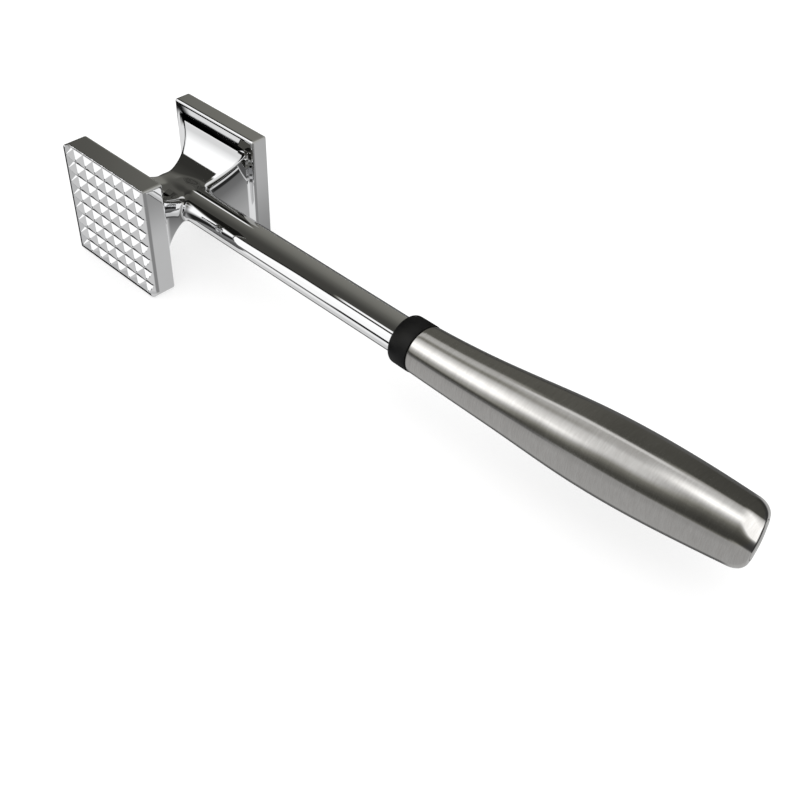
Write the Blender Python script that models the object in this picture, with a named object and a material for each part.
# Meat mallet: one die-cast head with shank and tang, a plastic collar, a
# hollow steel grip with its end cap, and the sleeve that holds the tang.
#
# Frame: the origin is the centre of the smooth striking face.  +X runs along
# the grip, +Y is the outward normal of the smooth face, -Y is the toothed
# side, +Z is up.  Dimensions are in millimetres; MM turns them into metres.

import bpy
import bmesh
import math
from bisect import bisect_left
from mathutils import Vector

MM = 0.001

# ------------------------------------------------------- shared dimensions
SEGMENTS = 40            # facets around every round piece
GAP = 0.3                # clearance between neighbouring pieces
AXIS_Y = -26.75          # axis of the shank

# head block
HEAD_LEN = 56.6          # smooth face to tooth tips, along Y
HALF_W = 22.5            # half width of both plates, along X
HALF_H = 21.9            # half height of both plates, along Z
PLATE_SMOOTH = 5.8       # smooth plate, face to the start of its inner rounding
PLATE_TOOTH = 9.0        # the same for the toothed plate, teeth included
FACE_EDGE_R = 0.8        # rounding around each striking face
INNER_EDGE_R = 1.1       # rounding of the plates' inner edges
EDGE_STEPS = 3           # steps around each of those roundings
CORNER_R = 0.9           # rounding of the plate corners seen along Y
CORNER_STEPS = 2         # steps around each corner

# spool between the two plates
WALL_DISH = 0.133        # the inner walls lean in by this much
COVE_W = 19.5            # half width of the coves where they meet the walls
COVE_H = 17.0            # half height of the coves there
WEB_FREE = 7.0           # web reach on the -X side
WEB_GRIP = 12.0          # web reach on the +X side
WEB_HALF_H = 5.0         # web half height
WEB_CORNER_EXTRA = 1.9   # added to CORNER_R in the middle of the web
COVE_POWER = 1.70        # exponent of the top and bottom coves (2 = ellipse)
COVE_POWER_SIDE = 1.75   # exponent of the two side coves
COVE_STEPS = 10          # steps from a plate wall to the middle of the web

# teeth
TOOTH_PITCH_X = 5.78
TOOTH_PITCH_Z = 5.56
TOOTH_DEPTH = 1.55
TOOTH_FLAT = 0.22        # width of the blunt tip
TOOTH_COUNT = 8
TOOTH_LAST_X = 19.6      # tip line nearest the grip side
TOOTH_FIRST_X = TOOTH_LAST_X - (TOOTH_COUNT - 1) * TOOTH_PITCH_X
TOOTH_FIRST_Z = -20.3    # lowest tip line
MARGIN_X = -21.0         # grooves stop here, leaving a plain border
MARGIN_Z = -20.4
GROOVE_END_DRAFT = 0.12  # slope of the closed groove ends, run per depth
GROOVE_OVERRUN = 3.0     # cutters run past the open plate edge by this much
CUTTER_RISE = 0.6        # cutters stand out of the face by this much
CUTTER_SPACE = 0.02      # half the space between neighbouring cutters there

# shank and tang
SHANK_R = 6.45
SHANK_END = 123.5
SHANK_ROOT = (           # (x, radius) where the shank grows out of the web
    (-4.5, 3.9), (-1.0, 4.9), (4.0, 5.9), (10.0, SHANK_R),
)
STEP_LEN = 0.9           # cone between shank and tang
TANG_R = 4.6
TANG_END = 182.0
TANG_CHAMFER = 1.2
GROOVE_X0 = 133.0        # first groove turned into the tang
GROOVE_PITCH = 9.5
GROOVE_COUNT = 4
GROOVE_WIDTH = 4.0
GROOVE_DEPTH = 0.7       # the groove sides stand at 45 degrees
FLAT_HALF = 3.9          # half distance across the two tang flats
FLAT_X0 = 172.0
FLAT_CUT_MARGIN = 2.0    # flat cutters pass the tang by this in X and Z
FLAT_CUT_HALF_Y = 8.0

# collar
COLLAR_X0 = 118.6
COLLAR_X1 = 127.0
COLLAR_R = 8.68
NOSE_R = 1.7             # rounding at the -X end
NOSE_DROP = 0.12         # radius lost from the +X edge to the nose
NOSE_STEPS = 4
COLLAR_EDGE_LEN = 0.25   # chamfer at the +X edge
COLLAR_EDGE_DROP = 0.2
SPIGOT_LEN = 5.0
SPIGOT_CHAMFER = 0.4
STEP_GAP = 0.6           # collar bore step lies this far past the shank's

# hollow grip
SHELL_X0 = COLLAR_X1 + GAP
SHELL_WALL = 0.9
SHELL_STEPS = 18         # steps along the tube, up to the shoulder
GRIP_X1 = 243.5          # end plane of the grip on its centre line
DOME = 1.55              # the end is domed by this much in the middle
DOME_R = 11.2            # and by nothing at this radius
BEND_X0 = 121.5          # the grip centre line starts to lean here
BEND_RAMP = 36.0         # length over which the lean builds up
BEND_SLOPE = 0.070       # final lean towards +Y
SLANT_X0 = 222.0         # cross-sections tilt further from here
SLANT_END = math.radians(6.0)
GRIP_PROFILE = (         # (x, outer radius) of the grip before the shoulder
    (127.0, 8.50), (139.5, 8.96), (153.0, 9.66), (167.4, 10.68),
    (185.4, 12.02), (207.9, 12.36), (228.6, 11.34), (243.0, 10.22),
)
SHOULDER_LEN = 4.2       # rounded shoulder at the grip end
SHOULDER_DROP = 3.0      # radius lost across it
SHOULDER_TAPER = 0.06    # further radius lost per unit of length
SHOULDER_POWER = 2.2     # exponent of the rounding
SHOULDER_X0 = GRIP_X1 - SHOULDER_LEN
SHOULDER_STATIONS = (0.25, 0.48, 0.68, 0.83, 0.94, 0.995)  # shares of its length
END_STATIONS = (0.1, 0.5)  # shares of the way from shoulder to cap opening

# end cap
CAP_OPENING_R = 6.3      # radius of the opening the cap sits in
LIP_DEPTH = 2.0          # depth of the lip behind the end plane
LIP_STEP = 0.9           # width of the ledge behind the lip
FLANGE_EXTRA = 0.6       # cap flange reaches past the opening by this much
FLANGE_LEN = 2.3
CAP_EDGE_DROP = 0.2      # bevel around the domed face
CAP_EDGE_IN = 0.15
CAP_DOME_RADII = (4.6, 3.0, 1.3)

# tang sleeve
SLEEVE_X0 = COLLAR_X1 + SPIGOT_LEN + 0.4
SLEEVE_X1 = 176.0
SLEEVE_GAP = 0.45        # clearance to the bore of the grip
SLEEVE_STEPS = 8


# ----------------------------------------------------------------- helpers
def clear_scene():
    for obj in list(bpy.data.objects):
        bpy.data.objects.remove(obj, do_unlink=True)


def material(name, colour, metallic, roughness):
    mat = bpy.data.materials.new(name)
    mat.use_nodes = True
    bsdf = mat.node_tree.nodes.get("Principled BSDF")
    bsdf.inputs["Base Color"].default_value = (*colour, 1.0)
    bsdf.inputs["Metallic"].default_value = metallic
    bsdf.inputs["Roughness"].default_value = roughness
    mat.diffuse_color = (*colour, 1.0)
    return mat


def shade_by_angle(mesh, degrees):
    mesh.shade_smooth()
    mesh.set_sharp_from_angle(angle=math.radians(degrees))


def object_from_bmesh(name, bm, mat=None):
    bmesh.ops.recalc_face_normals(bm, faces=bm.faces)
    mesh = bpy.data.meshes.new(name)
    bm.to_mesh(mesh)
    bm.free()
    if mat is not None:
        mesh.materials.append(mat)
    obj = bpy.data.objects.new(name, mesh)
    bpy.context.scene.collection.objects.link(obj)
    return obj


def bridge(bm, ring_a, ring_b):
    count = len(ring_a)
    for i in range(count):
        j = (i + 1) % count
        bm.faces.new((ring_a[i], ring_a[j], ring_b[j], ring_b[i]))


def loft(bm, rings, closed=False):
    """Skin the rings; closed joins the last to the first, else both are capped."""
    made = [[bm.verts.new(Vector(point) * MM) for point in ring] for ring in rings]
    for ring_a, ring_b in zip(made, made[1:]):
        bridge(bm, ring_a, ring_b)
    if closed:
        bridge(bm, made[-1], made[0])
    else:
        bm.faces.new(list(reversed(made[0])))
        bm.faces.new(made[-1])


def lofted_object(name, rings, mat=None, closed=False, sharp_angle=None):
    bm = bmesh.new()
    loft(bm, rings, closed)
    obj = object_from_bmesh(name, bm, mat)
    if sharp_angle is not None:
        shade_by_angle(obj.data, sharp_angle)
    return obj


def apply_boolean(target, tool, operation):
    """Bake the boolean into the target's mesh and remove the tool."""
    mod = target.modifiers.new("boolean", "BOOLEAN")
    mod.operation = operation
    mod.solver = "EXACT"
    mod.object = tool
    bpy.context.view_layer.update()
    depsgraph = bpy.context.evaluated_depsgraph_get()
    mesh = bpy.data.meshes.new_from_object(target.evaluated_get(depsgraph))
    target.modifiers.clear()
    old_mesh = target.data
    target.data = mesh
    bpy.data.meshes.remove(old_mesh)
    bpy.data.objects.remove(tool, do_unlink=True)


# ----------------------------------------------- circles and the grip's shape
def circle(x, centre_y, tilt, radius):
    """Circle across the X axis, tilted about Z."""
    points = []
    for i in range(SEGMENTS):
        angle = 2.0 * math.pi * i / SEGMENTS
        across = radius * math.cos(angle)
        points.append((x - math.sin(tilt) * across,
                       centre_y + math.cos(tilt) * across,
                       radius * math.sin(angle)))
    return points


def straight_circle(x, radius):
    return circle(x, AXIS_Y, 0.0, radius)


def grip_centre_y(x):
    run = x - BEND_X0
    if run <= BEND_RAMP:
        return AXIS_Y + BEND_SLOPE * run * run / (2.0 * BEND_RAMP)
    return AXIS_Y + BEND_SLOPE * (BEND_RAMP / 2.0 + (run - BEND_RAMP))


def smooth_step(t):
    t = min(max(t, 0.0), 1.0)
    return t * t * (3.0 - 2.0 * t)


def grip_tilt(x):
    slope = BEND_SLOPE * min((x - BEND_X0) / BEND_RAMP, 1.0)
    slant = SLANT_END * smooth_step((x - SLANT_X0) / (GRIP_X1 - SLANT_X0))
    return math.atan(slope) + slant


def grip_circle(x, radius):
    return circle(x, grip_centre_y(x), grip_tilt(x), radius)


def spline_second_derivatives(xs, ys):
    """Second derivatives of the natural cubic spline through the points."""
    count = len(xs)
    second = [0.0] * count
    upper = [0.0] * count
    reduced = [0.0] * count
    for i in range(1, count - 1):
        before = xs[i] - xs[i - 1]
        after = xs[i + 1] - xs[i]
        bend = 6.0 * ((ys[i + 1] - ys[i]) / after - (ys[i] - ys[i - 1]) / before)
        pivot = 2.0 * (before + after) - before * upper[i - 1]
        upper[i] = after / pivot
        reduced[i] = (bend - before * reduced[i - 1]) / pivot
    for i in range(count - 2, 0, -1):
        second[i] = reduced[i] - upper[i] * second[i + 1]
    return second


GRIP_XS, GRIP_RADII = zip(*GRIP_PROFILE)
GRIP_SECOND = spline_second_derivatives(GRIP_XS, GRIP_RADII)


def grip_radius(x):
    """Outer radius on the spline, for x within GRIP_PROFILE."""
    k = bisect_left(GRIP_XS, x) - 1
    span = GRIP_XS[k + 1] - GRIP_XS[k]
    a = (GRIP_XS[k + 1] - x) / span
    b = (x - GRIP_XS[k]) / span
    curve = (a ** 3 - a) * GRIP_SECOND[k] + (b ** 3 - b) * GRIP_SECOND[k + 1]
    return a * GRIP_RADII[k] + b * GRIP_RADII[k + 1] + curve * span * span / 6.0


def grip_outer(x):
    """Outer radius with the rounded shoulder at the end of the grip."""
    if x <= SHOULDER_X0:
        return grip_radius(x)
    run = x - SHOULDER_X0
    base = grip_radius(SHOULDER_X0) - run * SHOULDER_TAPER
    # max() absorbs rounding error at the very end of the shoulder
    rest = math.sqrt(max(1.0 - (run / SHOULDER_LEN) ** SHOULDER_POWER, 0.0))
    return base - SHOULDER_DROP * (1.0 - rest)


def dome_height(radius):
    """How far the domed end stands past the end plane at this radius."""
    return DOME * (1.0 - (radius / DOME_R) ** 2)


# ------------------------------------------------------------- head casting
def rounded_rectangle(y, free, grip, half_h, corner_r):
    """Ring at one Y station, from x = -free to x = grip."""
    right, left = grip - corner_r, -free + corner_r
    top, bottom = half_h - corner_r, -half_h + corner_r
    points = []
    for x, z, start in ((right, top, 0.0), (left, top, 90.0),
                        (left, bottom, 180.0), (right, bottom, 270.0)):
        for k in range(CORNER_STEPS + 1):
            angle = math.radians(start + 90.0 * k / CORNER_STEPS)
            points.append((x + corner_r * math.cos(angle), y,
                           z + corner_r * math.sin(angle)))
    return points


def plate_ring(y, inset):
    return rounded_rectangle(y, HALF_W - inset, HALF_W - inset, HALF_H - inset,
                             CORNER_R)


def plate_rings(y_face, y_inner, inward):
    """Both rounded edges of a plate, from its striking face to the spool."""
    angles = [math.radians(90.0 * k / EDGE_STEPS) for k in range(EDGE_STEPS + 1)]
    face_edge = [plate_ring(y_face + inward * FACE_EDGE_R * (1.0 - math.cos(a)),
                            FACE_EDGE_R * (1.0 - math.sin(a))) for a in angles]
    inner_edge = [plate_ring(y_inner + inward * INNER_EDGE_R * math.sin(a),
                             INNER_EDGE_R * (1.0 - math.cos(a))) for a in angles]
    return face_edge + inner_edge


def cove_share(t, power):
    """0 at the middle of the web (t = 0), 1 at a plate wall (t = 1 or -1)."""
    return 1.0 - (1.0 - abs(t) ** power) ** (1.0 / power)


def cove_ring(y, t):
    side = cove_share(t, COVE_POWER_SIDE)
    top = cove_share(t, COVE_POWER)
    return rounded_rectangle(
        y,
        free=WEB_FREE + (COVE_W - WEB_FREE) * side,
        grip=WEB_GRIP + (COVE_W - WEB_GRIP) * side,
        half_h=WEB_HALF_H + (COVE_H - WEB_HALF_H) * top,
        corner_r=CORNER_R + WEB_CORNER_EXTRA * (1.0 - top) ** 2)


def head_rings():
    y_smooth = -PLATE_SMOOTH
    y_tooth = -HEAD_LEN + PLATE_TOOTH
    middle = 0.5 * (y_smooth + y_tooth)
    half_gap = 0.5 * (y_smooth - y_tooth) - INNER_EDGE_R - WALL_DISH
    # stations crowd towards the walls, where the coves are steepest
    shares = [math.cos(0.5 * math.pi * k / COVE_STEPS) ** (2.0 / COVE_POWER)
              for k in range(COVE_STEPS)]
    stations = shares + [0.0] + [-t for t in reversed(shares)]
    spool = [cove_ring(middle + half_gap * t, t) for t in stations]
    toothed_plate = plate_rings(-HEAD_LEN, y_tooth, 1.0)
    return plate_rings(0.0, y_smooth, -1.0) + spool + toothed_plate[::-1]


def groove_cutter(along_x):
    """V-shaped prisms, one for each valley, running out over one plate edge."""
    if along_x:
        pitch, first = TOOTH_PITCH_Z, TOOTH_FIRST_Z
        start, stop = MARGIN_X, HALF_W + GROOVE_OVERRUN
    else:
        pitch, first = TOOTH_PITCH_X, TOOTH_FIRST_X
        start, stop = MARGIN_Z, HALF_H + GROOVE_OVERRUN
    half = 0.5 * (pitch - TOOTH_FLAT)
    # kept narrow above the face so that neighbouring prisms don't meet there
    wide = 0.5 * pitch - CUTTER_SPACE
    y_above = -HEAD_LEN - CUTTER_RISE
    section = ((-wide, y_above), (-half, -HEAD_LEN),
               (0.0, -HEAD_LEN + TOOTH_DEPTH),
               (half, -HEAD_LEN), (wide, y_above))
    bm = bmesh.new()
    for k in range(TOOTH_COUNT):
        centre = first + (k + 0.5) * pitch
        rings = []
        for end, draft in ((start, GROOVE_END_DRAFT), (stop, 0.0)):
            ring = [(end + draft * (y + HEAD_LEN), y, centre + offset)
                    for offset, y in section]
            if not along_x:
                ring = [(across, y, run) for run, y, across in ring]
            rings.append(ring)
        loft(bm, rings)
    return object_from_bmesh("groove_cutter", bm)


def flat_cutter(z0, z1):
    y0, y1 = AXIS_Y - FLAT_CUT_HALF_Y, AXIS_Y + FLAT_CUT_HALF_Y
    return lofted_object("tang_flat", [
        [(x, y0, z0), (x, y1, z0), (x, y1, z1), (x, y0, z1)]
        for x in (FLAT_X0, TANG_END + FLAT_CUT_MARGIN)])


def build_shank(mat):
    """Shank and grooved tang, with two flats at the end of the tang."""
    profile = [*SHANK_ROOT, (SHANK_END, SHANK_R), (SHANK_END + STEP_LEN, TANG_R)]
    for k in range(GROOVE_COUNT):
        x0 = GROOVE_X0 + k * GROOVE_PITCH
        x1 = x0 + GROOVE_WIDTH
        floor_r = TANG_R - GROOVE_DEPTH
        profile += [(x0, TANG_R), (x0 + GROOVE_DEPTH, floor_r),
                    (x1 - GROOVE_DEPTH, floor_r), (x1, TANG_R)]
    profile += [(TANG_END - TANG_CHAMFER, TANG_R),
                (TANG_END, TANG_R - TANG_CHAMFER)]
    shank = lofted_object("shank_blank",
                          [straight_circle(x, r) for x, r in profile], mat)
    # the flats stop the tang turning in its sleeve
    cut_z = TANG_R + FLAT_CUT_MARGIN
    for z0, z1 in ((FLAT_HALF, cut_z), (-cut_z, -FLAT_HALF)):
        apply_boolean(shank, flat_cutter(z0, z1), "DIFFERENCE")
    return shank


def build_head(mat):
    head = lofted_object("head_casting", head_rings(), mat)
    for along_x in (True, False):
        apply_boolean(head, groove_cutter(along_x), "DIFFERENCE")
    apply_boolean(head, build_shank(mat), "UNION")
    # guards against a boolean result that comes back without its material
    if not head.data.materials:
        head.data.materials.append(mat)
    shade_by_angle(head.data, 24.0)


# ------------------------------------------------------------------- collar
def build_collar(mat):
    """Ring with a rounded nose; its spigot enters the mouth of the grip."""
    shank_bore = SHANK_R + GAP
    tang_bore = TANG_R + GAP
    spigot_r = grip_radius(SHELL_X0) - SHELL_WALL - GAP
    spigot_x1 = COLLAR_X1 + SPIGOT_LEN
    step_x0 = SHANK_END + STEP_GAP
    profile = [(COLLAR_X0, shank_bore)]
    for k in range(NOSE_STEPS + 1):
        angle = math.radians(90.0 * k / NOSE_STEPS)
        profile.append((COLLAR_X0 + NOSE_R * (1.0 - math.cos(angle)),
                        COLLAR_R - NOSE_DROP - NOSE_R * (1.0 - math.sin(angle))))
    profile += [
        (COLLAR_X1 - COLLAR_EDGE_LEN, COLLAR_R),
        (COLLAR_X1, COLLAR_R - COLLAR_EDGE_DROP),
        (COLLAR_X1, spigot_r),
        (spigot_x1 - SPIGOT_CHAMFER, spigot_r),
        (spigot_x1, spigot_r - SPIGOT_CHAMFER),
        (spigot_x1, tang_bore),
        (step_x0 + STEP_LEN, tang_bore),
        (step_x0, shank_bore),
    ]
    lofted_object("collar_ring", [straight_circle(x, r) for x, r in profile],
                  mat, closed=True, sharp_angle=30.0)


# --------------------------------------------------------------- grip shell
def end_circle(radius, x=GRIP_X1):
    """Grip circle pushed out along X by the dome of the end."""
    return grip_circle(x + dome_height(radius), radius)


def build_shell(mat):
    """Swelling tube whose far end is rolled in to a lip around the cap."""
    tube_xs = [SHELL_X0 + (SHOULDER_X0 - SHELL_X0) * k / SHELL_STEPS
               for k in range(SHELL_STEPS + 1)]
    shoulder_xs = [SHOULDER_X0 + SHOULDER_LEN * f for f in SHOULDER_STATIONS]
    edge_r = grip_outer(GRIP_X1)
    lip_back = GRIP_X1 - LIP_DEPTH

    rings = [grip_circle(x, grip_outer(x)) for x in tube_xs]
    rings += [end_circle(grip_outer(x), x) for x in shoulder_xs]
    rings += [end_circle(edge_r + (CAP_OPENING_R - edge_r) * t)
              for t in END_STATIONS]
    rings += [end_circle(CAP_OPENING_R),
              grip_circle(lip_back, CAP_OPENING_R),
              grip_circle(lip_back, CAP_OPENING_R + LIP_STEP)]
    # the bore runs back to the mouth on every second station
    rings += [grip_circle(x, grip_outer(x) - SHELL_WALL) for x in tube_xs[::-2]]
    lofted_object("handle_shell", rings, mat, closed=True, sharp_angle=40.0)


def build_cap(mat):
    """Domed plug in the lip of the shell; a flange behind the lip keeps it in."""
    flange_x = GRIP_X1 - LIP_DEPTH - GAP
    flange_r = CAP_OPENING_R + FLANGE_EXTRA
    cap_r = CAP_OPENING_R - GAP
    rings = [grip_circle(flange_x - FLANGE_LEN, flange_r),
             grip_circle(flange_x, flange_r),
             grip_circle(flange_x, cap_r),
             end_circle(cap_r, GRIP_X1 - CAP_EDGE_DROP)]
    rings += [end_circle(r) for r in (cap_r - CAP_EDGE_IN, *CAP_DOME_RADII)]
    lofted_object("butt_cap", rings, mat, sharp_angle=40.0)


# -------------------------------------------------------------- tang sleeve
def sleeve_hole(x):
    """Rim of the straight hole, in an end plane that leans with the grip."""
    slope = math.tan(grip_tilt(x))
    centre_y = grip_centre_y(x)
    return [(px - slope * (py - centre_y), py, pz)
            for px, py, pz in straight_circle(x, TANG_R + GAP)]


def build_sleeve(mat):
    """Moulded sleeve: follows the leaning bore outside, straight inside."""
    rings = []
    for k in range(SLEEVE_STEPS + 1):
        x = SLEEVE_X0 + (SLEEVE_X1 - SLEEVE_X0) * k / SLEEVE_STEPS
        rings.append(grip_circle(x, grip_radius(x) - SHELL_WALL - SLEEVE_GAP))
    rings += [sleeve_hole(SLEEVE_X1), sleeve_hole(SLEEVE_X0)]
    lofted_object("tang_sleeve", rings, mat, closed=True, sharp_angle=40.0)


# -------------------------------------------------------------------- build
clear_scene()
chrome = material("chrome_casting", colour=(0.80, 0.81, 0.82),
                  metallic=1.0, roughness=0.08)
steel = material("brushed_steel", colour=(0.58, 0.57, 0.55),
                 metallic=1.0, roughness=0.30)
black = material("black_plastic", colour=(0.02, 0.02, 0.02),
                 metallic=0.0, roughness=0.45)
grey = material("grey_plastic", colour=(0.25, 0.25, 0.26),
                metallic=0.0, roughness=0.60)

build_head(chrome)
build_collar(black)
build_shell(steel)
build_cap(steel)
build_sleeve(grey)
